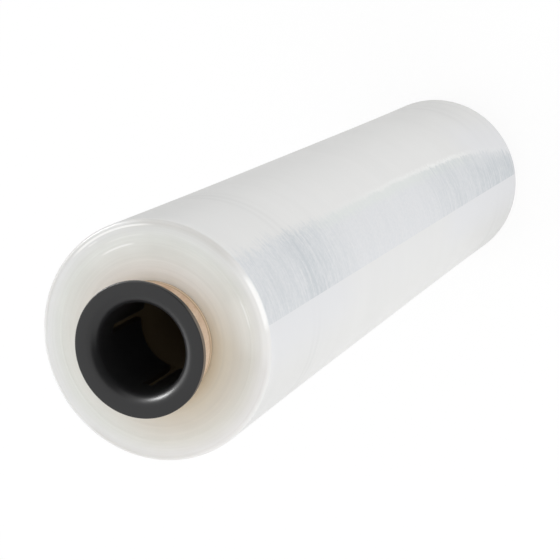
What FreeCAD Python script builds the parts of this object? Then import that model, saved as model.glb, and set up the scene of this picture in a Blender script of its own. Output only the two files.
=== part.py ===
import FreeCAD, Part
import os
import Sketcher

# A hand roll of stretch film, wound on a cardboard core with a moulded plug pressed into each end.
# Millimetres. The roll stands on its bottom plug: Z runs up the roll's axis and the origin is the
# middle of the base. Azimuths are degrees about Z, counted from X towards Y.

SIZES = {
    # The wound film
    "film_width": 500,            # along the roll
    "film_build": 28.4,           # depth of the winding half-way along, from the core outwards
    "end_rise": 0.6,              # how much thicker the winding is at its ends
    "end_taper": 100,             # over which it thickens, at each end
    "film_rim_round": 1.7,        # both outer rims
    "turn_wander": 0.15,          # most that a group of turns is shifted along the roll
    "inner_group_count": 7,       # groups of turns between the core and the ridge
    "outer_group_count": 3,       # and between the ridge and the outside
    "ridge_height": 0.45,         # a few turns wound proud of the top face, and short of the bottom one
    "ridge_width": 1.2,
    "ridge_inset": 9,             # from the outside of the film to the middle of the ridge
    # The loose end of the film
    "tail_lift": 0.35,            # how far its edge stands off the roll
    "tail_span": 35,              # degrees that it has come away over
    "tail_azimuth": -114.3,       # its edge, at the bottom of the film
    "tail_slant": 4.5,            # degrees that its edge turns through on the way up
    # The cardboard core
    "core_bore": 50,
    "core_wall": 4,
    "core_overhang": 15,          # past the film, at each end
    # The end plugs
    "flange_reach": 7.4,          # past the core's bore, all round
    "flange_thickness": 3,
    "flange_edge_round": 0.6,
    "lip_round": 5.4,             # from the flange's face into the throat
    "sleeve_wall": 3.3,
    "sleeve_length": 48,          # past the flange's back
    "sleeve_lead": 0.8,           # chamfer that guides the sleeve into the core
    "slot_count": 4,
    "slot_width": 4.8,
    "slot_start": 15.5,           # from the flange's back
    "top_plug_turn": 47,          # azimuth of one slot
    "bottom_plug_turn": 20,
    # Between the core and what is wound on it or pressed into it
    "fit_clearance": 0.05,
}

# Places that follow from the sizes, as expressions for the document.
CORE_IN = "(Sizes.core_bore / 2)"
CORE_OUT = f"({CORE_IN} + Sizes.core_wall)"
CORE_FOOT = "Sizes.flange_thickness"
CORE_LENGTH = "(Sizes.film_width + 2 * Sizes.core_overhang)"
ROLL_HEIGHT = f"({CORE_LENGTH} + 2 * Sizes.flange_thickness)"
FILM_IN = f"({CORE_OUT} + Sizes.fit_clearance)"
FILM_OUT = f"({FILM_IN} + Sizes.film_build)"
FILM_RIM = f"({FILM_OUT} + Sizes.end_rise)"
FILM_FOOT = f"({CORE_FOOT} + Sizes.core_overhang)"
FILM_HEAD = f"({FILM_FOOT} + Sizes.film_width)"
RIDGE_IN = f"({FILM_OUT} - Sizes.ridge_inset - Sizes.ridge_width / 2)"
RIDGE_OUT = f"({RIDGE_IN} + Sizes.ridge_width)"
FLANGE_OUT = f"({CORE_IN} + Sizes.flange_reach)"
SLEEVE_OUT = f"({CORE_IN} - Sizes.fit_clearance)"
THROAT = f"({SLEEVE_OUT} - Sizes.sleeve_wall)"
SLEEVE_END = "(Sizes.flange_thickness + Sizes.sleeve_length)"

GROUP_TURN = 137.5                # degrees from one group's shift to the next, so that no two repeat
MATCH = 1e-4                      # an edge is the wanted one if it lies this near


def make_sheet(document):
    """The driving dimensions, one named cell each."""
    sheet = document.addObject("Spreadsheet::Sheet", "Sizes")
    for row, (name, value) in enumerate(SIZES.items(), 1):
        sheet.set(f"A{row}", name)
        sheet.set(f"B{row}", str(value))
        sheet.setAlias(f"B{row}", name)
    document.recompute()
    return sheet


def new_body(document, name):
    body = document.addObject("PartDesign::Body", name)
    body.Label = name
    return body


def new_sketch(body, name, role):
    """A sketch on one of the body's own origin planes."""
    sketch = body.newObject("Sketcher::SketchObject", name)
    plane = next(item for item in body.Origin.OriginFeatures if item.Role == role)
    sketch.AttachmentSupport = (plane, [""])
    sketch.MapMode = "FlatFace"
    return sketch


def hold(sketch, kind, *where):
    """Adds a dimension and ties it to an expression, the last argument."""
    *points, expression = where
    value = float(sketch.evalExpression(expression))
    number = sketch.addConstraint(Sketcher.Constraint(kind, *points, value))
    sketch.setExpression(f"Constraints[{number}]", expression)


def draw_outline(sketch, corners):
    """A closed outline of straight lines through corners, each a pair of expressions (across, up)."""
    points = [FreeCAD.Vector(*(float(sketch.evalExpression(place)) for place in corner), 0)
              for corner in corners]
    count = len(corners)
    for number, point in enumerate(points):
        sketch.addGeometry(Part.LineSegment(point, points[(number + 1) % count]))
    for number, (across, up) in enumerate(corners):
        following = (number + 1) % count
        sketch.addConstraint(Sketcher.Constraint("Coincident", number, 2, following, 1))
        for kind, place, axis in (("DistanceX", across, -2), ("DistanceY", up, -1)):
            if place == "0":
                sketch.addConstraint(Sketcher.Constraint("PointOnObject", number, 1, axis))
            else:
                hold(sketch, kind, -1, 1, number, 1, place)


def revolve(body, name, corners):
    """The outline turned about the body's Z axis; across is the radius and up the height."""
    sketch = new_sketch(body, f"{name}_section", "XZ_Plane")
    draw_outline(sketch, corners)
    turned = body.newObject("PartDesign::Revolution", name)
    turned.Profile = sketch
    turned.ReferenceAxis = (sketch, ["V_Axis"])
    turned.Angle = 360
    sketch.Visibility = False
    body.Document.recompute()
    return turned


def circles_at(feature, radius, height):
    """Names of the feature's full circles of this radius at this height, both expressions."""
    wanted = float(feature.evalExpression(radius))
    level = float(feature.evalExpression(height))
    names = []
    for number, edge in enumerate(feature.Shape.Edges, 1):
        curve = edge.Curve
        if isinstance(curve, Part.Circle) and abs(curve.Radius - wanted) < MATCH:
            if abs(curve.Center.z - level) < MATCH:
                names.append(f"Edge{number}")
    return names


def soften(body, kind, name, base, circles, size):
    """A fillet or chamfer on circular edges, each given as (radius, height)."""
    edges = [edge for circle in circles for edge in circles_at(base, *circle)]
    softened = body.newObject(f"PartDesign::{kind}", name)
    softened.Base = (base, edges)
    softened.setExpression("Radius" if kind == "Fillet" else "Size", size)
    body.Document.recompute()
    return softened


def turn_groups():
    """The winding's groups of turns, from the core out: each group's outer radius and its shift up."""
    inside, outside = SIZES["inner_group_count"], SIZES["outer_group_count"]
    groups = []
    for number in range(1, inside + 1):
        radius = f"({FILM_IN} + ({RIDGE_IN} - {FILM_IN}) * {number} / Sizes.inner_group_count)"
        groups.append((radius, f"Sizes.turn_wander * sin({number * GROUP_TURN})"))
    groups.append((RIDGE_OUT, "Sizes.ridge_height"))
    for number in range(1, outside + 1):
        radius = f"({RIDGE_OUT} + ({FILM_OUT} - {RIDGE_OUT}) * {number} / Sizes.outer_group_count)"
        groups.append((radius, f"Sizes.turn_wander * sin({(outside - number) * GROUP_TURN})"))
    return groups


def film_side(foot, head, slimmer="0"):
    """Corners up the winding's side, which is a little thicker at both ends."""
    return [
        (f"{FILM_RIM} - {slimmer}", foot),
        (f"{FILM_OUT} - {slimmer}", f"{FILM_FOOT} + Sizes.end_taper"),
        (f"{FILM_OUT} - {slimmer}", f"{FILM_HEAD} - Sizes.end_taper"),
        (f"{FILM_RIM} - {slimmer}", head),
    ]


def make_winding(document):
    """All the turns as one solid. The film's width is constant, so a group that stands proud of the
    top face is as far short of the bottom one. The outermost group isn't shifted."""
    body = new_body(document, "winding")
    bottom, top = [], []
    inner = FILM_IN
    for outer, shift in turn_groups():
        for radius in (inner, outer):
            bottom.append((radius, f"{FILM_FOOT} + {shift}"))
            top.append((radius, f"{FILM_HEAD} + {shift}"))
        inner = outer
    turned = revolve(body, "turns", bottom[:-1] + film_side(FILM_FOOT, FILM_HEAD) + top[-2::-1])
    rims = [(FILM_RIM, FILM_FOOT), (FILM_RIM, FILM_HEAD)]
    body.Tip = soften(body, "Fillet", "rims", turned, rims, "Sizes.film_rim_round")
    return body


def make_tail(document):
    """The loose end of the film. A round shape like the roll but slimmer, with its middle moved towards
    the tail's edge, runs into the roll's own surface tail_span away and stands tail_lift off it at the
    edge. A leaning block keeps that side of it only, back to the slanted edge."""
    azimuth = "(Sizes.tail_azimuth + Sizes.tail_slant / 2)"
    offset = (f"((2 * {FILM_OUT} * Sizes.tail_lift + Sizes.tail_lift ^ 2)"
              f" / (2 * ({FILM_OUT} + Sizes.tail_lift - {FILM_OUT} * cos(Sizes.tail_span))))")
    loose = new_body(document, "tail_round")
    foot, head = f"({FILM_FOOT} + Sizes.film_rim_round)", f"({FILM_HEAD} - Sizes.film_rim_round)"
    side = film_side(foot, head, slimmer=f"({offset} - Sizes.tail_lift)")
    revolve(loose, "tail_turned", [("0", foot), *side, ("0", head)])
    loose.setExpression("Placement.Base.x", f"{offset} * cos({azimuth})")
    loose.setExpression("Placement.Base.y", f"{offset} * sin({azimuth})")

    reach = "(Sizes.tail_span + Sizes.tail_slant)"
    inner = f"({FILM_OUT} * cos({reach}))"
    block = document.addObject("Part::Box", "tail_side")
    block.setExpression("Length", f"{FILM_RIM} + 2 * Sizes.tail_lift - {inner}")
    block.setExpression("Width", f"{FILM_OUT} * sin({reach})")
    block.setExpression("Height", "Sizes.film_width")
    lean = f"-atan({FILM_OUT} * sin(Sizes.tail_slant) / Sizes.film_width)"
    block.setExpression("Placement", (
        f"create(<<placement>>; create(<<vector>>; {inner} * cos(Sizes.tail_azimuth);"
        f" {inner} * sin(Sizes.tail_azimuth); {FILM_FOOT});"
        f" create(<<rotation>>; Sizes.tail_azimuth; 0; {lean}))"))

    tail = document.addObject("Part::Common", "tail")
    tail.Base, tail.Tool = loose, block
    return tail


def make_film(document):
    film = document.addObject("Part::Fuse", "film_roll")
    film.Label = "film_roll"
    film.Base = make_winding(document)
    film.Tool = make_tail(document)
    film.Refine = True
    return film


def make_core(document):
    """A spirally wound cardboard tube, open from end to end."""
    body = new_body(document, "core_tube")
    sketch = new_sketch(body, "core_section", "XY_Plane")
    for number, radius in enumerate((CORE_IN, CORE_OUT)):
        size = float(sketch.evalExpression(radius))
        sketch.addGeometry(Part.Circle(FreeCAD.Vector(), FreeCAD.Vector(0, 0, 1), size))
        sketch.addConstraint(Sketcher.Constraint("Coincident", number, 3, -1, 1))
        hold(sketch, "Radius", number, radius)
    tube = body.newObject("PartDesign::Pad", "tube")
    tube.Profile = sketch
    tube.setExpression("Length", CORE_LENGTH)
    sketch.Visibility = False
    body.setExpression("Placement.Base.z", CORE_FOOT)
    body.Tip = tube
    return body


def make_plug(document, name, turn, upside_down):
    """A moulded plug. Its own frame has the flange's face at 0 and the sleeve above it."""
    body = new_body(document, name)
    turned = revolve(body, f"{name}_turned", [
        (THROAT, "0"),
        (FLANGE_OUT, "0"),
        (FLANGE_OUT, "Sizes.flange_thickness"),
        (SLEEVE_OUT, "Sizes.flange_thickness"),
        (SLEEVE_OUT, SLEEVE_END),
        (THROAT, SLEEVE_END),
    ])
    lip = soften(body, "Fillet", f"{name}_lip", turned, [(THROAT, "0")], "Sizes.lip_round")
    flange = [(FLANGE_OUT, "0"), (FLANGE_OUT, "Sizes.flange_thickness")]
    edge = soften(body, "Fillet", f"{name}_edge", lip, flange, "Sizes.flange_edge_round")
    soften(body, "Chamfer", f"{name}_lead", edge, [(SLEEVE_OUT, SLEEVE_END)], "Sizes.sleeve_lead")

    # One slot through the sleeve's wall, open at the sleeve's end, and its copies round the sleeve
    sketch = new_sketch(body, f"{name}_slot_outline", "YZ_Plane")
    half, start = "Sizes.slot_width / 2", "Sizes.flange_thickness + Sizes.slot_start"
    past_end = f"{SLEEVE_END} + Sizes.sleeve_wall"
    draw_outline(sketch, [(f"-{half}", start), (half, start), (half, past_end), (f"-{half}", past_end)])
    slot = body.newObject("PartDesign::Pocket", f"{name}_slot")
    slot.Profile = sketch
    slot.setExpression("Length", FLANGE_OUT)
    slot.Reversed = True
    sketch.Visibility = False
    document.recompute()
    slots = body.newObject("PartDesign::PolarPattern", f"{name}_slots")
    slots.Originals = [slot]
    slots.Axis = (next(item for item in body.Origin.OriginFeatures if item.Role == "Z_Axis"), [""])
    slots.Angle = 360
    slots.setExpression("Occurrences", "Sizes.slot_count")
    body.Tip = slots

    height, tip_over = (ROLL_HEIGHT, 180) if upside_down else ("0", 0)
    body.setExpression("Placement", (
        f"create(<<placement>>; create(<<vector>>; 0; 0; {height});"
        f" create(<<rotation>>; {turn}; 0; {tip_over}))"))
    return body


def check(document, parts):
    """Stops with a plain message if any object failed or any part isn't one valid solid."""
    for item in document.Objects:
        if "Invalid" in item.State or "Error" in item.State:
            raise RuntimeError(f"{item.Name} failed: {item.State}")
    for part in parts:
        shape = part.Shape
        if shape.isNull() or not shape.isValid() or len(shape.Solids) != 1:
            raise RuntimeError(f"{part.Label} is not one valid solid")
        print(f"{part.Label}: {shape.Volume / 1000:.2f} cm3, box {shape.BoundBox}")


document = FreeCAD.newDocument("stretch_wrap_roll")
make_sheet(document)
parts = [
    make_film(document),
    make_core(document),
    make_plug(document, "end_plug_top", "Sizes.top_plug_turn", upside_down=True),
    make_plug(document, "end_plug_bottom", "Sizes.bottom_plug_turn", upside_down=False),
]
document.recompute()
check(document, parts)
os.makedirs("parts", exist_ok=True)
for part in parts:
    part.Shape.exportStep(f"parts/{part.Label}.step")
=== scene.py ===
import math

import bpy
from bpy.props import (
    FloatProperty,
    FloatVectorProperty,
    IntProperty,
    PointerProperty,
)
from bpy.types import Operator, Panel, PropertyGroup
from mathutils import Matrix, Vector


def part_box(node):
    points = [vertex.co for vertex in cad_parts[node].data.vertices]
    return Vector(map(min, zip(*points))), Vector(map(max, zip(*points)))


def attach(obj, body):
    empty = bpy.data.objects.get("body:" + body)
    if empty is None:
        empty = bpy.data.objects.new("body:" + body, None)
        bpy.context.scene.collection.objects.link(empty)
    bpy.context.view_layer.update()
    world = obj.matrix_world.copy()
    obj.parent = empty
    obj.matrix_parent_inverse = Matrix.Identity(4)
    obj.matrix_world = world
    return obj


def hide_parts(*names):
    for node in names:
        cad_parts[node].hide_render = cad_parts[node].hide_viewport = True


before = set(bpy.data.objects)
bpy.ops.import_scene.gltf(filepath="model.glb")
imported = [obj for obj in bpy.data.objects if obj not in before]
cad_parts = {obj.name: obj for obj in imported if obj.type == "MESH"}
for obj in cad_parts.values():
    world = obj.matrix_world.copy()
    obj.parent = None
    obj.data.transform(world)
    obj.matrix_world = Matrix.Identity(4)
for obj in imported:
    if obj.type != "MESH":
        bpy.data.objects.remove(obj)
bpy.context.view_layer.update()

bl_info = {
    "name": "Stretch wrap roll",
    "version": (1, 0, 0),
    "blender": (4, 5, 0),
    "location": "View3D > Sidebar > Roll",
    "description": "Dresses a roll of stretch film: winding, cardboard core and moulded end plugs",
    "category": "Object",
}

# Metres throughout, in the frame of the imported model: the roll stands on its bottom plug and Z runs up
# its axis. Azimuths are counted from X towards Y.

MM = 0.001
BODY = "root"

CORE_LOW, CORE_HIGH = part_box("core_tube")
FILM_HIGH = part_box("film_roll")[1]
PLUG_LOW, PLUG_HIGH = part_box("end_plug_bottom")
ROLL_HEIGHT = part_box("end_plug_top")[1].z
CORE_OVERHANG = 15 * MM
TURN = 2 * math.pi
COLUMNS_ROUND = 160


def length(name, description, default, lowest=0.0):
    return FloatProperty(name=name, description=description, default=default, min=lowest,
                         unit="LENGTH", precision=5)


def angle(name, description, in_degrees):
    return FloatProperty(name=name, description=description, default=math.radians(in_degrees),
                         unit="ROTATION")


def brightness(name, description, default):
    return FloatProperty(name=name, description=description, default=default, min=0)


def linear(*shade):
    """Red, green and blue as they show on a screen, 0 to 255, made linear."""
    parts = [value / 255 for value in shade]
    return tuple(part / 12.92 if part <= 0.04045 else ((part + 0.055) / 1.055) ** 2.4
                 for part in parts)


def colour(name, description, red, green, blue):
    return FloatVectorProperty(name=name, description=description, subtype="COLOR", size=3,
                               min=0, max=1, default=linear(red, green, blue))


class FilmSettings(PropertyGroup):
    radius: length("Radius", "Outside of the winding, half-way along", FILM_HIGH.x - 0.6 * MM)
    end_rise: length("End rise", "How much thicker the winding is at its ends", 0.58 * MM)
    end_taper: length("End taper", "Where the winding starts to thicken, from each end", 150 * MM)
    bore: length("Bore radius", "Inside of the winding, on the core", CORE_HIGH.x + 0.05 * MM)
    foot: length("Foot", "Height of the winding's bottom face", CORE_LOW.z + CORE_OVERHANG)
    head: length("Head", "Height of the winding's top face", CORE_HIGH.z - CORE_OVERHANG)
    rim_round: length("Rim rounding", "Rounding of both outer rims", 1.7 * MM)
    ridge_inset: length("Ridge inset", "From the outside to the middle of the proud turns", 9 * MM)
    ridge_width: length("Ridge width", "Breadth of the proud turns", 1.4 * MM)
    ridge_height: length("Ridge height", "How far the proud turns stand out", 0.05 * MM)
    turn_relief: length("Turn relief", "Relief of single turns on the faces", 0.09 * MM)
    gauge_relief: length("Gauge relief", "Gentle bands where the film is thicker", 0.05 * MM)
    tail_lift: length("Tail lift", "How far the loose edge stands off the roll", 0.35 * MM)
    tail_azimuth: angle("Tail azimuth", "The loose edge, at the foot", -113.8)
    tail_slant: angle("Tail slant", "How far the loose edge turns on the way up", 4.1)
    loose_foot: angle("Loose at foot", "How far round the film has come away at the foot", 17.5)
    loose_head: angle("Loose at head", "How far round the film has come away at the head", 33.5)
    clear: colour("Clear film", "Winding seen from the side", 227, 227, 226)
    slack_tint: colour("Loose film", "Where the last turn doesn't cling", 222, 223, 225)
    slack_cold: colour("Loose film, cold", "Specks all over the loose film", 216, 218, 221)
    slack_dark: colour("Loose film in shade", "Deep streaks towards both ends", 197, 202, 206)
    slack_edge: colour("Loose film next to the cling", "A breath of green", 221, 225, 222)
    thin_tint: colour("Under the loose end", "A breath of blue before the loose edge", 223, 224, 227)
    corner_shade: colour("Corner", "Shade near the foot, before the loose edge", 170, 170, 168)
    edge_tint: colour("Edge of the cling", "Where the last turn starts to cling", 240, 241, 240)
    # Turn in shade also colours the painted shade on stretches of the outer turns
    turn_shade: colour("Turn in shade", "Turns that lie a little deeper in a face", 170, 166, 156)
    # The proud turns' colour is a painted highlight
    glint: colour("Proud turn", "Turns that stand a hair proud of a face", 252, 252, 250)


class CoreSettings(PropertyGroup):
    bore: length("Bore radius", "Inside of the tube", 25 * MM)
    edge_round: length("Edge rounding", "Softened rims of the cut board", 0.25 * MM)
    seam_pitch: length("Seam pitch", "Climb of the paper's seam in one turn", 103 * MM)
    seam_width: length("Seam width", "Breadth of the butt seam", 0.7 * MM)
    board: colour("Board", "Outer paper", 227, 204, 181)
    fibre: colour("Fibre", "Darker fibres and the seam", 199, 167, 137)
    collar: length("Collar", "How far the first turns of film reach along the board", 2.2 * MM)
    collar_tint: colour("Collar", "Board seen through the first turns", 216, 196, 168)
    collar_edge: colour("Edge of the collar", "Shaded edge of the first turns", 160, 132, 102)
    # Painted shade: the inside of the bore, which is the same board
    inside: colour("Inside", "Inner paper", 92, 78, 56)


class PlugSettings(PropertyGroup):
    throat: length("Throat radius", "Bore that takes the spindle", 21.65 * MM)
    flange: length("Flange thickness", "Thickness of the flange", 3 * MM)
    flange_round: length("Flange rounding", "Rounding of the flange's rims", 0.6 * MM)
    lip_round: length("Lip rounding", "From the flange's face into the throat", 5.4 * MM)
    sleeve: length("Sleeve radius", "Outside of the sleeve", 24.95 * MM)
    lead: length("Lead", "Chamfer at the sleeve's end", 0.8 * MM)
    slot_width: length("Slot width", "Breadth of the slots in the sleeve", 4.8 * MM)
    slot_start: length("Slot start", "From the flange's back to the slots", 15.5 * MM)
    slots: IntProperty(name="Slots", description="Slots round the sleeve", default=4, min=1)
    top_turn: angle("Top turn", "Azimuth of one slot in the top plug", 47)
    bottom_turn: angle("Bottom turn", "Azimuth of one slot in the bottom plug", 20)
    black: colour("Plastic", "The moulded plastic", 32, 32, 33)
    # Painted highlight: the board's warm reflection in the flange's rounded edge
    painted_highlight: colour("Scuffed edge", "Where the flange's edge has been rubbed", 118, 106, 94)


class StageSettings(PropertyGroup):
    floor: colour("Floor", "The floor", 250, 250, 250)
    card: colour("Card", "The black card", 20, 20, 20)
    ambient: brightness("Ambient", "Level of the plain light all round", 0.735)
    fill: brightness("Fill", "Brightness of the large soft lights", 1.0)
    glint: brightness("Glints", "Brightness of the strips seen in the gloss", 20.0)


# Sockets that are reached by number: the Mix node's colours, and outputs other than the first
MIX_FIRST, MIX_SECOND, MIX_RESULT = 6, 7, 2
OBJECT_PLACE, FACING = 3, 1


class Wire:
    """One socket's value. Arithmetic on it adds Math nodes."""

    def __init__(self, graph, socket):
        self.graph = graph
        self.socket = socket

    def __add__(self, other):
        return self.graph.maths("ADD", self, other)

    def __radd__(self, other):
        return self.graph.maths("ADD", other, self)

    def __sub__(self, other):
        return self.graph.maths("SUBTRACT", self, other)

    def __rsub__(self, other):
        return self.graph.maths("SUBTRACT", other, self)

    def __mul__(self, other):
        return self.graph.maths("MULTIPLY", self, other)

    def __rmul__(self, other):
        return self.graph.maths("MULTIPLY", other, self)

    def __truediv__(self, other):
        return self.graph.maths("DIVIDE", self, other)

    def __pow__(self, other):
        return self.graph.maths("POWER", self, other)

    def __gt__(self, other):
        return self.graph.maths("GREATER_THAN", self, other)

    def __lt__(self, other):
        return self.graph.maths("LESS_THAN", self, other)


class Graph:
    """A node tree being written. Every node comes from node()."""

    def __init__(self, tree):
        self.tree = tree
        tree.nodes.clear()

    def node(self, kind, settings=None, sockets=None):
        made = self.tree.nodes.new(kind)
        for name, value in (settings or {}).items():
            if name == "stops":
                self.set_stops(made.color_ramp, value)
            else:
                setattr(made, name, value)
        for name, value in (sockets or {}).items():
            self.feed(made.inputs[name], value)
        return made

    def wire(self, kind, settings=None, sockets=None, output=0):
        return Wire(self, self.node(kind, settings, sockets).outputs[output])

    def feed(self, socket, value):
        if isinstance(value, Wire):
            self.tree.links.new(value.socket, socket)
        elif value is not None:
            socket.default_value = value

    @staticmethod
    def set_stops(ramp, stops):
        while len(ramp.elements) < len(stops):
            ramp.elements.new(1)
        for element, (place, shade) in zip(ramp.elements, stops):
            element.position = place
            element.color = (*shade, 1)

    def maths(self, operation, *values):
        return self.wire("ShaderNodeMath", {"operation": operation}, dict(enumerate(values)))

    def clamp(self, value):
        return self.wire("ShaderNodeClamp", None, {"Value": value})

    def ease(self, value, low, high):
        """0 below low, 1 above high, and a smooth step between them."""
        return self.wire("ShaderNodeMapRange", {"interpolation_type": "SMOOTHSTEP"},
                         {"Value": value, "From Min": low, "From Max": high})

    def between(self, value, rise, fall):
        """1 between two places, each given as the start and end of its smooth step."""
        return self.ease(value, *rise) * (1 - self.ease(value, *fall))

    def vector(self, x=0.0, y=0.0, z=0.0):
        return self.wire("ShaderNodeCombineXYZ", None, {"X": x, "Y": y, "Z": z})

    def split(self, vector):
        made = self.node("ShaderNodeSeparateXYZ", None, {"Vector": vector})
        return [Wire(self, socket) for socket in made.outputs]

    def blend(self, factor, first, second):
        made = self.node("ShaderNodeMix", {"data_type": "RGBA"}, {"Factor": factor})
        self.feed(made.inputs[MIX_FIRST], first)
        self.feed(made.inputs[MIX_SECOND], second)
        return Wire(self, made.outputs[MIX_RESULT])

    def noise(self, vector, detail, roughness=0.5):
        """Smooth noise about 0, from -0.5 to 0.5, one cell to a unit."""
        return self.wire("ShaderNodeTexNoise", {"noise_dimensions": "3D"}, {
            "Vector": vector, "Scale": 1.0, "Detail": detail, "Roughness": roughness}) - 0.5

    def streaks(self, east, north, across, kind):
        """Noise drawn out round the roll. It changes slowly with the bearing and fast across."""
        cells_round, cells_across, detail, roughness = kind
        place = self.vector(east * cells_round, north * cells_round, across * cells_across)
        return self.noise(place, detail, roughness)

    def bump(self, height, strength, distance):
        return self.wire("ShaderNodeBump", None, {
            "Strength": strength, "Distance": distance, "Height": height})


def rgba(shade, dimmed_to=1.0):
    """A colour as a socket takes it, dimmed where asked."""
    return (*(part * dimmed_to for part in shade), 1.0)


def millimetres(*values):
    """Millimetres, as metres."""
    return tuple(value * MM for value in values)


def degrees(*values):
    """Degrees, as radians."""
    return tuple(math.radians(value) for value in values)


# Sizes that the film's tree takes: name of the input, name of the setting
FILM_INPUTS = (
    ("Radius", "radius"), ("End rise", "end_rise"), ("End taper", "end_taper"), ("Bore", "bore"),
    ("Foot", "foot"), ("Head", "head"), ("Rim round", "rim_round"), ("Ridge inset", "ridge_inset"),
    ("Ridge width", "ridge_width"), ("Ridge height", "ridge_height"), ("Turn relief", "turn_relief"),
    ("Gauge relief", "gauge_relief"), ("Tail lift", "tail_lift"), ("Tail azimuth", "tail_azimuth"),
    ("Tail slant", "tail_slant"), ("Loose at foot", "loose_foot"), ("Loose at head", "loose_head"),
)
# Rows of the film's skin: the face up to the ridge, the ridge, the rest of the face, a rim, the side
INNER_ROWS, RIDGE_ROWS, OUTER_ROWS, RIM_ROWS, SIDE_ROWS = 60, 14, 30, 9, 120
FILM_COLUMNS = 220
# Steep enough that the first row above the low rim counts in full as side
SIDE_START = 1000
# Points closer than this are one point, where the skin closes on itself
CLOSED_WITHIN = 0.002 * MM

# Streaks round the film: cells to a unit of bearing, cells to a metre across, detail, roughness.
# In the skin's shape: thicker bands along the roll, groups of turns and single turns on the faces
THICK_BANDS = (0.6, 55, 3, 0.5)
TURN_GROUPS = (0.3, 260, 1, 0.5)
SINGLE_TURNS = (0.5, 1500, 2, 0.5)
# In the colour of the side, from broad bands to hairlines and specks
BROAD_STREAKS = (0.8, 45, 3, 0.5)
FINE_STREAKS = (2.5, 420, 4, 0.65)
HAIR_STREAKS = (5, 1500, 2, 0.5)
SHORT_STREAKS = (18, 380, 3, 0.6)
SPECKLES = (36, 500, 2, 0.5)
# In the colour of the faces
FACE_RINGS = (0.6, 900, 4, 0.6)
FACE_BLOTCHES = (4, 160, 3, 0.5)

# How fast the loose patch widens from the foot up
LOOSE_POWER = 4.9

# How dark the loose film is along the roll: millimetres from the head, tone from 0 light to 1 dark
SLACK_DEPTH = ((0, 0.36), (50, 0.4), (68, 0.62), (85, 0.54), (105, 0.32), (150, 0.06), (270, 0.03),
               (345, 0.45), (378, 0.28), (393, 0.5), (430, 0.64), (500, 0.68))

# Lines round the winding, from where the film was made: millimetres from the head, breadth, tone
FILM_LINES = ((62, 4, 0.55), (69.5, 4, 0.6), (78, 3, 0.2), (110, 4, 0.15), (447, 8, 0.55),
              (462, 9, 0.3), (484, 5, 0.4))

# Steps along the side, as distances from the head
HEAD_END = millimetres(50, 150)
FOOT_END = millimetres(370, 440)
CLING_LINE_START = millimetres(90, 330)
PALE_MIDDLE = (millimetres(30, 150), millimetres(330, 460))
CLEAR_MIDDLE = (millimetres(90, 150), millimetres(290, 350))
SHADE_UNDER = millimetres(290, 390)
CORNER = millimetres(570, 720)

# The corner's shade and the one under it slant: metres along the roll for each radian round it
CORNER_SLANT, UNDER_SLANT = millimetres(150, 115)
CORNER_END = math.radians(75)

# Steps round the roll, before the loose edge and past it
BEFORE_EDGE_FADES = degrees(60, 150)
THIN_BEFORE_EDGE = degrees(4, 34)
UPPER_HALF = degrees(11, 23)

# Steps round the roll, past the border where the last turn starts to cling
FRINGE = degrees(-9, -3)
CLING_LINE = (degrees(-1.5, 0), degrees(0, 3))
ON_TOP = degrees(0, 5)
THIN_PAST_CLING = degrees(8, 34)

# How ragged that border is, all along and at the ends, how soft inwards and outwards, and how much
# further round it lies near the head
RAGGED, RAGGED_AT_ENDS = degrees(3, 8)
BORDER_IN, BORDER_OUT = degrees(3, 2)
WIDER_AT_HEAD = math.radians(2)

# Painted highlights on turns that stand a hair proud of a face, where they catch the light; the same
# strokes also give these turns gloss and a little relief. Radius, breadth, the azimuths in degrees
# between which they stand out, and strength
FILM_GLINTS = ((46.9, 0.6, -19, 1, 0.6), (50.7, 0.6, -26, -4, 0.2), (48.6, 0.6, -109, -94, 0.35),
               (49.8, 0.4, -108, -98, 0.2), (55.4, 0.7, -29, 14, 0.9), (53.8, 0.5, 0, 6, 0.4),
               (58.0, 0.3, -18, 12, 0.25), (56.9, 1.6, -110.5, -86, 1.0), (55.5, 3.0, -128, -84, 0.3),
               (47.0, 9.0, -28, 12, 0.15), (48.0, 9.0, -124, -92, 0.16),
               (41.0, 10.0, -116, -50, 0.13))

# Stretches of the outer turns that lie in shade, given in the same way
FILM_SHADES = ((57.5, 5, -76, -20, 0.3), (57.5, 4, 112, 170, 0.16), (57.5, 2.5, -2, 48, 0.2))

# The faces' colour from the core out, on the warm side and on the other. The warm side is the board
# shining through the film, with the flange's shadow and the board's reflected light painted in; near the
# core both are painted lighter, as light that comes through the film. The places run from 0 at the core
# to 1 at the outside
WARM_AZIMUTH = math.radians(-157)
WARM_FACE = ((0.02, (215, 201, 177)), (0.20, (214, 206, 190)), (0.45, (213, 207, 196)),
             (0.70, (221, 219, 212)), (0.90, (229, 228, 227)), (1.0, (229, 228, 227)))
COOL_FACE = ((0.02, (229, 225, 218)), (0.20, (231, 228, 223)), (0.45, (221, 221, 216)),
             (0.70, (221, 223, 219)), (0.90, (225, 226, 226)), (1.0, (224, 224, 224)))


def new_tree(name, inputs):
    """An empty geometry tree with a number input for each name, and a wire for each."""
    tree = bpy.data.node_groups.new(name, "GeometryNodeTree")
    graph = Graph(tree)
    tree.interface.new_socket("Geometry", in_out="INPUT", socket_type="NodeSocketGeometry")
    for label in inputs:
        tree.interface.new_socket(label, in_out="INPUT", socket_type="NodeSocketFloat")
    tree.interface.new_socket("Material", in_out="INPUT", socket_type="NodeSocketMaterial")
    tree.interface.new_socket("Geometry", in_out="OUTPUT", socket_type="NodeSocketGeometry")
    entry = graph.node("NodeGroupInput")
    wires = {socket.name: Wire(graph, socket) for socket in entry.outputs if socket.name}
    return graph, wires


# Edges that bend by more than this stay sharp
SHARP = math.radians(32)


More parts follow.
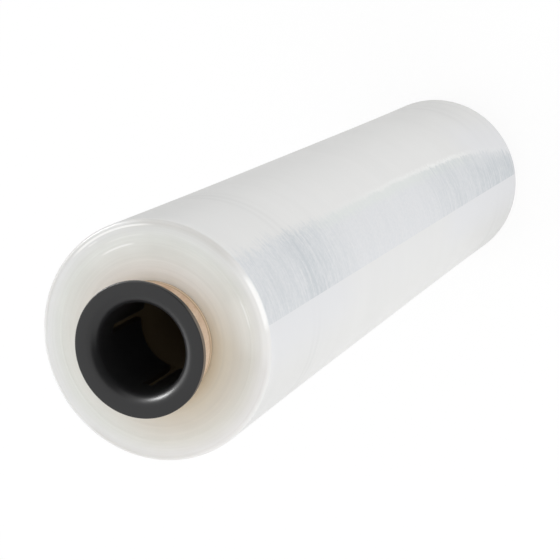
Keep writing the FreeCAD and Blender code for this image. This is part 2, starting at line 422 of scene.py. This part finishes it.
def end_tree(graph, wires, shape):
    """Shades the shape smooth but for its sharp edges, and ends the tree."""
    smooth = graph.wire("GeometryNodeSetShadeSmooth", {"domain": "FACE"},
                        {0: shape, "Shade Smooth": True})
    bend = graph.wire("GeometryNodeInputMeshEdgeAngle")
    creased = graph.wire("GeometryNodeSetShadeSmooth", {"domain": "EDGE"},
                         {0: smooth, "Selection": bend > SHARP, "Shade Smooth": False})
    real = graph.wire("GeometryNodeRealizeInstances", None, {0: creased})
    dressed = graph.wire("GeometryNodeSetMaterial", None, {0: real, "Material": wires["Material"]})
    graph.node("NodeGroupOutput", None, {0: dressed})
    return graph.tree


def make_piece(name, start, tree, values, material):
    """Runs a geometry tree on a start mesh and keeps the result as a plain mesh of that name."""
    base = bpy.data.objects.new(f"{name}_base", start)
    bpy.context.scene.collection.objects.link(base)
    modifier = base.modifiers.new("build", "NODES")
    modifier.node_group = tree
    values = {**values, "Material": material}
    for item in tree.interface.items_tree:
        if item.item_type == "SOCKET" and item.in_out == "INPUT" and item.name in values:
            modifier[item.identifier] = values[item.name]
    depsgraph = bpy.context.evaluated_depsgraph_get()
    mesh = bpy.data.meshes.new_from_object(base.evaluated_get(depsgraph))
    bpy.data.objects.remove(base)
    mesh.name = name
    piece = bpy.data.objects.new(name, mesh)
    bpy.context.scene.collection.objects.link(piece)
    return piece


def loose_span(at_foot, at_head, climb):
    """How far round the film has come away, at a height from 0 at the foot to 1 at the head. It
    widens quickly at first."""
    return at_foot + (at_head - at_foot) * (1 - (1 - climb) ** LOOSE_POWER)


def film_tree():
    """The winding as one closed skin. A flat grid is rolled up: its rows follow the section from the
    bore, over the bottom face, up the side, back over the top face and down the bore, and its
    columns go round, starting and ending at the loose edge."""
    graph, size = new_tree("wound_film", [label for label, _ in FILM_INPUTS])
    face = (INNER_ROWS, RIDGE_ROWS, OUTER_ROWS)
    counts = (*face, RIM_ROWS, SIDE_ROWS, RIM_ROWS, *reversed(face), 1)
    rows = sum(counts)
    grid = graph.wire("GeometryNodeMeshGrid", None, {
        "Size X": 1.0, "Size Y": 1.0, "Vertices X": rows + 1, "Vertices Y": FILM_COLUMNS + 2})
    across, around, _ = graph.split(graph.wire("GeometryNodeInputPosition"))
    row = (across + 0.5) * rows
    column = (around + 0.5) * (FILM_COLUMNS + 1)
    done = [graph.clamp((row - sum(counts[:number])) / count) for number, count in enumerate(counts)]
    inner_out, ridge_out, outer_out, low_rim, side, high_rim, outer_in, ridge_in, inner_in, bore = done

    rim, width = size["Rim round"], size["Head"] - size["Foot"]
    ridge_start = size["Radius"] - size["Ridge inset"] - size["Ridge width"] / 2
    rim_start = size["Radius"] + size["End rise"] - rim
    low, high = low_rim * (math.pi / 2), high_rim * (math.pi / 2)
    section = (size["Bore"] + (ridge_start - size["Bore"]) * (inner_out - inner_in)
               + size["Ridge width"] * (ridge_out - ridge_in)
               + (rim_start - ridge_start - size["Ridge width"]) * (outer_out - outer_in)
               + rim * (graph.maths("SINE", low) - 1 + graph.maths("COSINE", high)))
    height = (size["Foot"] + rim * (1 - graph.maths("COSINE", low)) + (width - 2 * rim) * side
              + rim * graph.maths("SINE", high) - width * bore)
    from_end = graph.maths("MINIMUM", height - size["Foot"], size["Head"] - height)
    taper = graph.clamp(from_end / size["End taper"])
    # The side alone is slimmer, between the two rims
    on_side = graph.clamp(side * SIDE_START) * (high_rim < 0.5)
    radius = section - size["End rise"] * (1 - (1 - taper) * (1 - taper)) * on_side

    climb = (height - size["Foot"]) / width
    turned = graph.maths("MINIMUM", column, FILM_COLUMNS) * (TURN / FILM_COLUMNS)
    azimuth = size["Tail azimuth"] + size["Tail slant"] * climb + turned
    east, north = graph.maths("COSINE", azimuth), graph.maths("SINE", azimuth)

    # The loose end: it leaves the roll over the loose angle and stands highest at its edge
    loose = loose_span(size["Loose at foot"], size["Loose at head"], climb)
    past_edge = column > FILM_COLUMNS + 0.5
    away = graph.clamp(1 - graph.ease(turned / loose, 0.0, 1.0) + past_edge)
    clear_of_rims = graph.ease(from_end, rim, rim + 2 * MM)
    flutter = 0.85 + 0.3 * graph.noise(graph.vector(z=height * 60), detail=3)
    lift = size["Tail lift"] * away * clear_of_rims * flutter

    # Bands where the film is a little thicker, all round the roll
    bands = graph.streaks(east, north, height, THICK_BANDS)
    swell = size["Gauge relief"] * bands * clear_of_rims
    outer = radius + lift + swell

    # The ridge stands out at the head and is sunk at the foot, and single turns differ at random
    along_ridge = (section - ridge_start) / size["Ridge width"]
    ridge = size["Ridge height"] * graph.maths("SINE", graph.clamp(along_ridge) * math.pi)
    flat = 1 - graph.ease(section, rim_start - rim, rim_start)
    groups = graph.streaks(east, north, section, TURN_GROUPS)
    turns = graph.streaks(east, north, section, SINGLE_TURNS)
    shift = (ridge + size["Turn relief"] * (groups * 1.5 + turns)) * flat

    place = graph.vector(east * outer, north * outer, height + shift)
    rolled = graph.wire("GeometryNodeSetPosition", None, {"Geometry": grid, "Position": place})
    closed = graph.wire("GeometryNodeMergeByDistance", None, {
        "Geometry": rolled, "Distance": CLOSED_WITHIN})
    outward = graph.wire("GeometryNodeFlipFaces", None, {0: closed})
    return end_tree(graph, size, outward)


def turned_mesh(name, section):
    """A closed section of (radius, height) points, turned about Z. The points run anticlockwise,
    with the radius to the right and the height up, so that the faces point out."""
    count = len(section)
    points, faces = [], []
    for column in range(COLUMNS_ROUND):
        turn = TURN * column / COLUMNS_ROUND
        points += [(r * math.cos(turn), r * math.sin(turn), z) for r, z in section]
        here = column * count
        there = (column + 1) % COLUMNS_ROUND * count
        for index in range(count):
            following = (index + 1) % count
            faces.append((here + index, there + index, there + following, here + following))
    mesh = bpy.data.meshes.new(name)
    mesh.from_pydata(points, [], faces)
    mesh.update()
    return mesh


# Steps of the sections: the board's rims, the flange's rims, the plug's walls and its lip
BOARD_STEPS, EDGE_STEPS, WALL_STEPS, LIP_STEPS = 4, 6, 6, 14


def arc(centre_r, centre_z, radius, start, end, steps):
    """Points on an arc of the section, from start to end degrees."""
    turns = [math.radians(start + (end - start) * step / steps) for step in range(steps + 1)]
    return [(centre_r + radius * math.cos(turn), centre_z + radius * math.sin(turn)) for turn in turns]


def straight(first, last, steps):
    """Points from first to last, both left out."""
    return [tuple(a + (b - a) * step / steps for a, b in zip(first, last))
            for step in range(1, steps)]


def core_section(core, radius):
    """The tube's wall, with its four rims a little softened."""
    soft = core.edge_round
    corners = [(radius, CORE_LOW.z, -90), (radius, CORE_HIGH.z, 0), (core.bore, CORE_HIGH.z, 90),
               (core.bore, CORE_LOW.z, 180)]
    middle_r = (radius + core.bore) / 2
    middle_z = (CORE_LOW.z + CORE_HIGH.z) / 2
    section = []
    for r, z, start in corners:
        centre_r = r - math.copysign(soft, r - middle_r)
        centre_z = z - math.copysign(soft, z - middle_z)
        section += arc(centre_r, centre_z, soft, start, start + 90, BOARD_STEPS)
    return section


def plug_section(plug, flange_radius, reach):
    """The plug as moulded: flange's face at 0, sleeve above it."""
    edge, lip = plug.flange_round, plug.lip_round
    root, lead_start = (plug.sleeve, plug.flange), (plug.sleeve, reach - plug.lead)
    tip, lip_end = (plug.throat, reach), (plug.throat, lip)
    section = arc(flange_radius - edge, edge, edge, -90, 0, EDGE_STEPS)
    section += arc(flange_radius - edge, plug.flange - edge, edge, 0, 90, EDGE_STEPS)
    section += [root, *straight(root, lead_start, WALL_STEPS), lead_start]
    section += [(plug.sleeve - plug.lead, reach), tip, *straight(tip, lip_end, WALL_STEPS)]
    section += arc(plug.throat + lip, lip, lip, 180, 270, LIP_STEPS)
    return section


def core_tree():
    """The turned tube needs nothing but its shading and its material."""
    graph, size = new_tree("core_tube", ())
    return end_tree(graph, size, size["Geometry"])


PLUG_INPUTS = ("Slot width", "Slot foot", "Slot reach", "Slots", "Turn", "Tip over", "Lift")


def plug_tree():
    """Cuts the slots out of the turned plug, evenly round it, and seats the plug in the core."""
    graph, size = new_tree("end_plug", PLUG_INPUTS)
    long = size["Slot reach"]
    cutter = graph.wire("GeometryNodeMeshCube", None, {
        "Size": graph.vector(long, size["Slot width"], long)})
    placed = graph.wire("GeometryNodeTransform", None, {
        "Geometry": cutter, "Translation": graph.vector(long / 2, 0.0, size["Slot foot"] + long / 2)})
    stations = graph.wire("GeometryNodeMeshLine", None, {"Count": size["Slots"], "Offset": (0, 0, 0)})
    turn = graph.wire("GeometryNodeInputIndex") * TURN / size["Slots"]
    cutters = graph.wire("GeometryNodeInstanceOnPoints", None, {
        "Points": stations, "Instance": placed, "Rotation": graph.vector(z=turn)})
    real = graph.wire("GeometryNodeRealizeInstances", None, {0: cutters})
    slotted = graph.wire("GeometryNodeMeshBoolean", {"operation": "DIFFERENCE", "solver": "EXACT"},
                         {"Mesh 1": size["Geometry"], "Mesh 2": real})
    seated = graph.wire("GeometryNodeTransform", None, {
        "Geometry": slotted, "Translation": graph.vector(z=size["Lift"]),
        "Rotation": graph.vector(size["Tip over"], 0.0, size["Turn"])})
    return end_tree(graph, size, seated)


def new_material(name):
    """An empty material, and its tree to write."""
    material = bpy.data.materials.new(name)
    material.use_nodes = True
    return material, Graph(material.node_tree)


def end_material(graph, surface):
    """Ends a material's tree with its surface."""
    graph.node("ShaderNodeOutputMaterial", None, {"Surface": surface})


def object_place(graph):
    """Object coordinates, then the distance from the roll's axis and the azimuth about it."""
    x, y, z = graph.split(graph.wire("ShaderNodeTexCoord", output=OBJECT_PLACE))
    return x, y, z, graph.maths("SQRT", x * x + y * y), graph.maths("ARCTAN2", y, x)


def face_ramp(graph, place, stops):
    """The colour of a face at a place between the core and the outside."""
    return graph.wire("ShaderNodeValToRGB", {"stops": [(at, linear(*shade)) for at, shade in stops]},
                      {"Fac": place})


def stroke(graph, radius, azimuth, at, wide, start, end):
    """1 on a stroke along the ring at that radius, between two azimuths in degrees. It fades at its
    ends."""
    middle, half = degrees((start + end) / 2, (end - start) / 2)
    facing = graph.maths("COSINE", azimuth - middle)
    along = graph.ease(facing, math.cos(half * 1.25), math.cos(half * 0.5))
    return along * (1 - graph.ease(graph.maths("ABSOLUTE", radius - at), wide * 0.2, wide))


def strokes(graph, radius, azimuth, table):
    """All the strokes of a table, added up."""
    return sum((strength * stroke(graph, radius, azimuth, at * MM, wide * MM, start, end)
                for at, wide, start, end, strength in table), 0.0)


def film_material(film):
    """Clear film wound thick enough to look white. On the faces the core's colour comes through the
    inner turns, with the flange's shadow, the board's reflected light, highlights and shade painted in.
    Where the last turn has come away, it is bluer and streaked round the roll, and painted shade darkens
    the side towards its ends and near the foot."""
    material, graph = new_material("stretch_film")
    x, y, z, radius, azimuth = object_place(graph)
    east, north = x / radius, y / radius
    climb = (z - film.foot) / (film.head - film.foot)
    from_head = film.head - z
    depth = graph.maths("MINIMUM", from_head, z - film.foot)
    on_face = 1 - graph.ease(depth, 0.3 * MM, film.rim_round)
    on_side = 1 - on_face

    kinds = (BROAD_STREAKS, FINE_STREAKS, HAIR_STREAKS, SHORT_STREAKS, SPECKLES)
    broad, fine, hair, short, speckle = (graph.streaks(east, north, z, kind) for kind in kinds)
    stops = [(at * MM / (film.head - film.foot), (tone, tone, tone)) for at, tone in SLACK_DEPTH]
    slack_depth = graph.wire("ShaderNodeValToRGB", {"stops": stops}, {"Fac": 1 - climb})
    lines = 0.0
    for at, wide, tone in FILM_LINES:
        from_line = graph.maths("ABSOLUTE", from_head - at * MM)
        lines = lines + tone * (1 - graph.ease(from_line, 0.0, wide * MM))

    # The loose end, with the ragged border where it starts to cling. It is streaked most near the
    # ends of the roll
    edge_azimuth = film.tail_slant * climb
    from_edge = graph.maths("FRACT", (azimuth - film.tail_azimuth - edge_azimuth) / TURN) * TURN
    near_head = 1 - graph.ease(from_head, *HEAD_END)
    near_foot = graph.ease(from_head, *FOOT_END)
    at_ends = graph.maths("MAXIMUM", near_head, near_foot)
    ragged = (RAGGED * (broad + fine + short + speckle)
              + RAGGED_AT_ENDS * (fine + short) * at_ends)
    span = loose_span(film.loose_foot, film.loose_head, climb) + WIDER_AT_HEAD * near_head
    past_cling = from_edge - span - ragged
    loose = 1 - graph.ease(past_cling, -BORDER_IN - BORDER_IN * at_ends,
                           BORDER_OUT + BORDER_OUT * at_ends)
    mottle = 0.35 + 0.9 * fine + 0.7 * hair + 2.2 * speckle + 0.6 * broad
    paler = 1 - 0.6 * near_foot * graph.ease(from_edge, *UPPER_HALF)
    deep = slack_depth * paler * (1 + 3.2 * fine + 2 * hair + 1.6 * short + speckle + 0.8 * lines)
    fringe = graph.ease(past_cling, *FRINGE) * (1 - at_ends)
    slack = graph.blend(graph.clamp(mottle), rgba(film.slack_tint), rgba(film.slack_cold))
    slack = graph.blend(0.7 * fringe, slack, rgba(film.slack_edge))
    slack = graph.blend(graph.clamp(deep), slack, rgba(film.slack_dark))
    cling_line = (graph.between(past_cling, *CLING_LINE) * graph.ease(from_head, *CLING_LINE_START)
                  * (1 - near_foot * 0.6))

    # The rest of the side, with lines round it and a breath of blue next to the loose end. Its tone is
    # painted shade towards both ends, under the loose end and in the corner near the foot; the streaks
    # and lines in it are the film's own
    before_edge = TURN - from_edge
    near_edge = 1 - graph.ease(before_edge, *BEFORE_EDGE_FADES)
    to_corner = graph.maths("MINIMUM", before_edge, CORNER_END)
    corner = graph.ease(from_head + CORNER_SLANT * to_corner, *CORNER) * near_edge
    under = graph.ease(from_head - UNDER_SLANT * before_edge, *SHADE_UNDER) * near_edge
    middle = graph.between(from_head, *PALE_MIDDLE)
    line_shade = (0.25 + 0.35 * graph.ease(past_cling, *ON_TOP)) * lines
    shade = 0.38 - 0.25 * middle + 0.5 * broad + 0.3 * fine + line_shade + 0.4 * under
    plain = graph.blend(graph.clamp(shade), rgba(film.clear), rgba(film.clear, 0.9))
    thin = 1 - graph.ease(before_edge, *THIN_BEFORE_EDGE)
    clear_middle = graph.between(from_head, *CLEAR_MIDDLE)
    past_foot = near_foot * (1 - graph.ease(past_cling, *THIN_PAST_CLING))
    thin = graph.maths("MAXIMUM", thin * 0.8 * (1 - 0.75 * clear_middle), past_foot * 0.7)
    plain = graph.blend(thin, plain, rgba(film.thin_tint))
    plain = graph.blend(0.35 * corner, plain, rgba(film.corner_shade))
    side = graph.blend(loose, plain, slack)
    side = graph.blend(0.8 * cling_line * (0.7 + fine + 2 * speckle), side, rgba(film.edge_tint))

    # Faces: rings, and the board's colour shining through, warmer on one side, where the flange's shadow
    # and the board's reflected light are painted in
    rings = graph.streaks(east, north, radius, FACE_RINGS)
    blotches = graph.streaks(east, north, radius, FACE_BLOTCHES)
    out = (radius - film.bore) / (film.radius + film.end_rise - film.bore) + rings * 0.05
    bearing = graph.maths("COSINE", azimuth - WARM_AZIMUTH) * 0.5 + 0.5
    face = graph.blend(graph.ease(bearing, 0.4, 1.0), face_ramp(graph, out, COOL_FACE),
                       face_ramp(graph, out, WARM_FACE))
    face = graph.blend(graph.clamp(0.1 + 0.3 * rings + 0.15 * blotches), face, rgba(film.turn_shade))
    # Painted highlights on the proud turns, and painted shade on stretches of the outer turns
    glints = strokes(graph, radius, azimuth, FILM_GLINTS)
    shades = strokes(graph, radius, azimuth, FILM_SHADES)
    face = graph.blend(shades, face, rgba(film.turn_shade))
    face = graph.blend(glints, face, rgba(film.glint))
    skin = graph.blend(on_face, side, face)

    # Gloss: the rounded rims and the ridge shine, the wound faces are satin
    on_rim = (graph.ease(radius, film.radius - 2 * MM, film.radius - MM)
              * (1 - graph.ease(depth, 2 * MM, 4 * MM)))
    shiny = graph.maths("MAXIMUM", graph.clamp(glints) * on_face, on_rim * 0.04)
    relief = ((0.6 * fine + 0.3 * hair + broad) * (0.3 + 0.7 * loose) * on_side
              + (rings + 3 * glints) * on_face)
    bump = graph.bump(relief, 0.35, 0.05 * MM)
    shader = graph.wire("ShaderNodeBsdfPrincipled", None, {
        "Base Color": skin, "Roughness": 0.42 - 0.2 * shiny, "Normal": bump, "Specular IOR Level": 0.3,
        "Subsurface Weight": 0.3, "Subsurface Radius": (1.0, 0.95, 0.9), "Subsurface Scale": 5 * MM,
        "Coat Weight": 0.05 + 0.95 * shiny, "Coat Roughness": 0.12})
    # Seen at a slant the film stays milky instead of turning into a mirror
    dimmed = graph.blend(0.03, skin, (0, 0, 0, 1))
    milk = graph.wire("ShaderNodeBsdfDiffuse", None, {"Color": dimmed})
    slant = graph.wire("ShaderNodeLayerWeight", None, {"Blend": 0.5}, output=FACING)
    surface = graph.wire("ShaderNodeMixShader", None, {
        0: graph.ease(slant, 0.62, 0.85) * (1 - shiny), 1: shader, 2: milk})
    end_material(graph, surface)
    return material


# Cells to a metre of the board's fibres and blotches, across the roll and along it
FIBRES, BLOTCHES = (900, 260), (110, 160)
# Where the outer paper is a little darker, and the cosines between which that fades
DARKER_SIDE_AZIMUTH = math.radians(-55)
DARKER_SIDE_FADES = (0.84, 0.98)


def core_material(core):
    """Kraft board with fibres and blotches, the spiral seam, and the first turns of film as a collar.
    Painted shade darkens the collar's edge, the crease at the film's face and the inside of the bore."""
    material, graph = new_material("core_board")
    x, y, z, radius, azimuth = object_place(graph)
    phase = graph.maths("FRACT", azimuth / TURN - z / core.seam_pitch)
    from_seam = graph.maths("ABSOLUTE", phase - 0.5) * core.seam_pitch
    seam = graph.ease(from_seam, core.seam_pitch / 2 - core.seam_width, core.seam_pitch / 2)
    across, along = FIBRES
    fibres = graph.noise(graph.vector(x * across, y * across, z * along), detail=4, roughness=0.7)
    across, along = BLOTCHES
    blotches = graph.noise(graph.vector(x * across, y * across, z * along), detail=3)
    # Darker towards one side of the board
    darker_side = graph.ease(graph.maths("COSINE", azimuth - DARKER_SIDE_AZIMUTH), *DARKER_SIDE_FADES)
    tone = graph.clamp(0.35 + fibres * 1.2 + blotches * 1.8 + seam * 0.8 + darker_side * 0.55)
    outside = graph.blend(tone, rgba(core.board), rgba(core.fibre))
    past_film = graph.maths("MAXIMUM", z - CORE_HIGH.z + CORE_OVERHANG,
                            CORE_LOW.z + CORE_OVERHANG - z)
    past_film = past_film + blotches * 0.8 * MM
    collar = 1 - graph.ease(past_film, core.collar * 0.85, core.collar)
    # Painted shade at the collar's edge and in the crease where the board meets the film's face
    from_edge = graph.maths("ABSOLUTE", past_film - core.collar * 0.95)
    edge = 1 - graph.ease(from_edge, core.collar * 0.1, core.collar * 0.35)
    foot = 1 - graph.ease(past_film, 0.1 * MM, 0.6 * MM)
    wrapped = graph.blend(collar * 0.8, outside, rgba(core.collar_tint))
    wrapped = graph.blend(graph.maths("MAXIMUM", edge * 0.6, foot * 0.5), wrapped,
                          rgba(core.collar_edge))
    # The inside of the bore is painted dark: painted shade on the same board
    shade = graph.blend(radius > core.bore + 0.4 * MM, rgba(core.inside), wrapped)
    bump = graph.bump(fibres * 0.5 - seam, 0.5, 0.12 * MM)
    shader = graph.wire("ShaderNodeBsdfPrincipled", None, {
        "Base Color": shade, "Roughness": 0.85 + fibres * 0.1, "Normal": bump})
    end_material(graph, shader)
    return material


# Cells to a metre of the plastic's grain and of its flow, and the breadth of the painted highlight on
# the flange's edge and its azimuths in degrees
GRAIN, FLOW = 2600, 70
HIGHLIGHT_WIDE, HIGHLIGHT_START, HIGHLIGHT_END = 0.3 * MM, -152, -82


def plug_material(plug):
    """Black moulded plastic with a fine, slightly uneven satin skin, and a painted highlight, the
    board's reflection, on one stretch of the flange's edge.
    """
    material, graph = new_material("plug_plastic")
    x, y, z, radius, azimuth = object_place(graph)
    grain = graph.noise(graph.vector(x * GRAIN, y * GRAIN, z * GRAIN), detail=2)
    flow = graph.noise(graph.vector(x * FLOW, y * FLOW, z * FLOW), detail=3)
    shade = graph.blend(graph.clamp(0.5 + flow), rgba(plug.black), rgba(plug.black, 0.8))
    # A painted highlight along one stretch of the flange's edge
    highlit_edge = stroke(graph, radius, azimuth, PLUG_HIGH.x, HIGHLIGHT_WIDE, HIGHLIGHT_START, HIGHLIGHT_END)
    shade = graph.blend(0.8 * highlit_edge, shade, rgba(plug.painted_highlight))
    shader = graph.wire("ShaderNodeBsdfPrincipled", None, {
        "Base Color": shade, "Roughness": 0.37 + flow * 0.1 + grain * 0.06,
        "Normal": graph.bump(grain, 0.25, 0.03 * MM), "Specular IOR Level": 0.42})
    end_material(graph, shader)
    return material


def stand_for(piece, node):
    """The piece rides with the roll and is shown in place of the plain solid."""
    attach(piece, BODY)
    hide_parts(node)


class ROLL_OT_film(Operator):
    """Wind the film, with its loose end"""
    bl_idname = "roll.film"
    bl_label = "Film"

    def execute(self, context):
        film = context.scene.roll_film
        values = {label: getattr(film, setting) for label, setting in FILM_INPUTS}
        start = bpy.data.meshes.new("film_start")
        piece = make_piece("wound_film", start, film_tree(), values, film_material(film))
        stand_for(piece, "film_roll")
        return {"FINISHED"}


class ROLL_OT_core(Operator):
    """Make the cardboard core"""
    bl_idname = "roll.core"
    bl_label = "Core"

    def execute(self, context):
        core = context.scene.roll_core
        mesh = turned_mesh("cardboard_core", core_section(core, CORE_HIGH.x))
        piece = make_piece("cardboard_core", mesh, core_tree(), {}, core_material(core))
        stand_for(piece, "core_tube")
        return {"FINISHED"}


class ROLL_OT_plugs(Operator):
    """Mould the two end plugs and press them into the core"""
    bl_idname = "roll.plugs"
    bl_label = "End plugs"

    def execute(self, context):
        plug = context.scene.roll_plug
        material, tree = plug_material(plug), plug_tree()
        long = PLUG_HIGH.z - PLUG_LOW.z
        ends = (("moulded_plug_top", "end_plug_top", plug.top_turn, math.pi, ROLL_HEIGHT),
                ("moulded_plug_bottom", "end_plug_bottom", plug.bottom_turn, 0.0, 0.0))
        for name, node, turn, tip_over, lift in ends:
            mesh = turned_mesh(name, plug_section(plug, PLUG_HIGH.x, long))
            piece = make_piece(name, mesh, tree, {
                "Slot width": plug.slot_width, "Slot foot": plug.flange + plug.slot_start,
                "Slot reach": long, "Slots": float(plug.slots), "Turn": turn, "Tip over": tip_over,
                "Lift": lift}, material)
            stand_for(piece, node)
        return {"FINISHED"}


# The camera, placed by fitting the photograph's outline, the film's near rim and the flange
CAMERA_AT = Vector((0.0, -0.392009, 1.256554))
CAMERA_RIGHT = Vector((-0.496122, -0.797344, -0.343664))
CAMERA_UP = Vector((0.868236, -0.453148, -0.202046))
CAMERA_BACK = CAMERA_RIGHT.cross(CAMERA_UP)
CAMERA_TURN = Matrix((CAMERA_RIGHT, CAMERA_UP, CAMERA_BACK)).transposed().to_quaternion()
LENS, SENSOR = 115.016, 36.0
HALF_PIXEL = 0.5 / 560
CLIP_NEAR, CLIP_FAR = 0.01, 50

# The soft lights, placed from the roll's head: name, azimuth and angle above the head's face in
# degrees, metres away, width, height, and level as a share of the stage's
GLOSS_STRIPS = (("back_strip", 25, 19, 1.1, 0.42, 0.28, 2.4),
                ("front_strip", -100, -1, 1.1, 0.6, 0.12, 0.4))
WINDOW = ("window", 68, 15, 1.2, 0.9, 0.8, 1.8)
PLAIN_LIGHTS = (("front_light", -90, -12, 1.3, 1.2, 1.0, 1.0),
                ("left_light", 168, 5, 1.1, 1.3, 1.2, 0.9),
                ("top_light", -90, 76, 1.2, 1.0, 1.0, 1.2))

FLOOR_HALF = 6.0
CARD_HALF_WIDE, CARD_HALF_TALL = 1.6, 1.0
# Placed as the lights are
CARD_PLACE = (-92, 32, 1.5)


def hang(thing, azimuth, rise, away, front):
    """Places a thing round the roll's head, with its front axis towards it. The place is given from
    there: azimuth and angle above the head's face in degrees, and metres away."""
    turn, tilt = degrees(azimuth, rise)
    ray = Vector((math.cos(tilt) * math.cos(turn), math.cos(tilt) * math.sin(turn), math.sin(tilt)))
    thing.location = Vector((0, 0, FILM_HIGH.z)) + away * ray
    thing.rotation_mode = "QUATERNION"
    thing.rotation_quaternion = (-ray).to_track_quat(front, "Y")


def softbox(light, level, plain=True, mirrored=True):
    """A soft light aimed at the roll's head. It lights surfaces plainly, is mirrored in gloss, or
    both."""
    name, azimuth, rise, away, wide, tall, share = light
    lamp = bpy.data.lights.new(name, "AREA")
    lamp.shape, lamp.size, lamp.size_y = "RECTANGLE", wide, tall
    lamp.energy = level * share * math.pi * wide * tall
    made = bpy.data.objects.new(name, lamp)
    hang(made, azimuth, rise, away, "-Z")
    made.visible_camera = False
    made.visible_diffuse, made.visible_glossy = plain, mirrored
    bpy.context.scene.collection.objects.link(made)


WHITE = (1, 1, 1, 1)


def seen_directly(graph):
    """1 for the rays that show the background itself, and 0 for the ones that light the roll."""
    path = graph.node("ShaderNodeLightPath")
    kinds = ("Is Camera Ray", "Is Glossy Ray", "Is Transmission Ray")
    return graph.clamp(sum((Wire(graph, path.outputs[kind]) for kind in kinds), 0.0))


def floor_material(stage):
    """A white floor that keeps the roll's soft shadow."""
    material, graph = new_material("floor")
    board = graph.wire("ShaderNodeBsdfDiffuse", None, {"Color": rgba(stage.floor)})
    glow = graph.wire("ShaderNodeEmission", None, {"Color": WHITE, "Strength": 1.0})
    mixed = graph.wire("ShaderNodeMixShader", None, {
        0: seen_directly(graph) * 0.9, 1: board, 2: glow})
    end_material(graph, mixed)
    return material


def card_material(stage):
    """Plain black card."""
    material, graph = new_material("card")
    end_material(graph, graph.wire("ShaderNodeBsdfDiffuse", None, {"Color": rgba(stage.card)}))
    return material


def sheet(name, half_wide, half_tall, material):
    """A flat rectangle about the origin."""
    mesh = bpy.data.meshes.new(name)
    corners = [(-half_wide, -half_tall, 0), (half_wide, -half_tall, 0),
               (half_wide, half_tall, 0), (-half_wide, half_tall, 0)]
    mesh.from_pydata(corners, [], [(0, 1, 2, 3)])
    mesh.materials.append(material)
    made = bpy.data.objects.new(name, mesh)
    bpy.context.scene.collection.objects.link(made)
    return made


class ROLL_OT_stage(Operator):
    """Set the floor, the lights and the camera"""
    bl_idname = "roll.stage"
    bl_label = "Stage"

    def execute(self, context):
        stage, scene = context.scene.roll_stage, context.scene
        floor = sheet("floor", FLOOR_HALF, FLOOR_HALF, floor_material(stage))

        world = bpy.data.worlds.new("studio")
        world.use_nodes = True
        graph = Graph(world.node_tree)
        level = stage.ambient + (1 - stage.ambient) * seen_directly(graph)
        sky = graph.wire("ShaderNodeBackground", None, {"Color": WHITE, "Strength": level})
        graph.node("ShaderNodeOutputWorld", None, {"Surface": sky})
        scene.world = world

        for strip in GLOSS_STRIPS:
            softbox(strip, stage.glint, plain=False)
        softbox(WINDOW, stage.fill)
        for light in PLAIN_LIGHTS:
            softbox(light, stage.fill, mirrored=False)

        # A black card behind the camera, which only the gloss sees, so that the plug's near lip
        # stays dark
        card = sheet("card", CARD_HALF_WIDE, CARD_HALF_TALL, card_material(stage))
        hang(card, *CARD_PLACE, "Z")
        card.visible_camera = card.visible_diffuse = False
        card.visible_shadow = card.visible_transmission = False

        camera = bpy.data.objects.new("camera", bpy.data.cameras.new("camera"))
        camera.data.lens, camera.data.sensor_width = LENS, SENSOR
        camera.data.clip_start, camera.data.clip_end = CLIP_NEAR, CLIP_FAR
        camera.data.shift_x, camera.data.shift_y = -HALF_PIXEL, HALF_PIXEL
        camera.location = CAMERA_AT
        camera.rotation_mode = "QUATERNION"
        camera.rotation_quaternion = CAMERA_TURN
        scene.collection.objects.link(camera)
        scene.camera = camera
        scene.view_settings.view_transform = "Standard"
        return {"FINISHED"}


SETTINGS = (("roll_film", FilmSettings), ("roll_core", CoreSettings), ("roll_plug", PlugSettings),
            ("roll_stage", StageSettings))
OPERATORS = (ROLL_OT_film, ROLL_OT_core, ROLL_OT_plugs, ROLL_OT_stage)


class ROLL_PT_panel(Panel):
    """Sizes, colours and steps of the roll"""
    bl_idname = "ROLL_PT_panel"
    bl_label = "Stretch wrap roll"
    bl_space_type = "VIEW_3D"
    bl_region_type = "UI"
    bl_category = "Roll"

    def draw(self, context):
        for operator in OPERATORS:
            self.layout.operator(operator.bl_idname)
        for name, group in SETTINGS:
            box = self.layout.box()
            for setting in group.__annotations__:
                box.prop(getattr(context.scene, name), setting)


CLASSES = (*(group for _, group in SETTINGS), *OPERATORS, ROLL_PT_panel)


def register():
    for item in CLASSES:
        bpy.utils.register_class(item)
    for name, group in SETTINGS:
        setattr(bpy.types.Scene, name, PointerProperty(type=group))


def unregister():
    for name, _ in SETTINGS:
        delattr(bpy.types.Scene, name)
    for item in reversed(CLASSES):
        bpy.utils.unregister_class(item)


def main():
    register()
    bpy.ops.roll.film()
    bpy.ops.roll.core()
    bpy.ops.roll.plugs()
    bpy.ops.roll.stage()


if __name__ == "__main__":
    main()
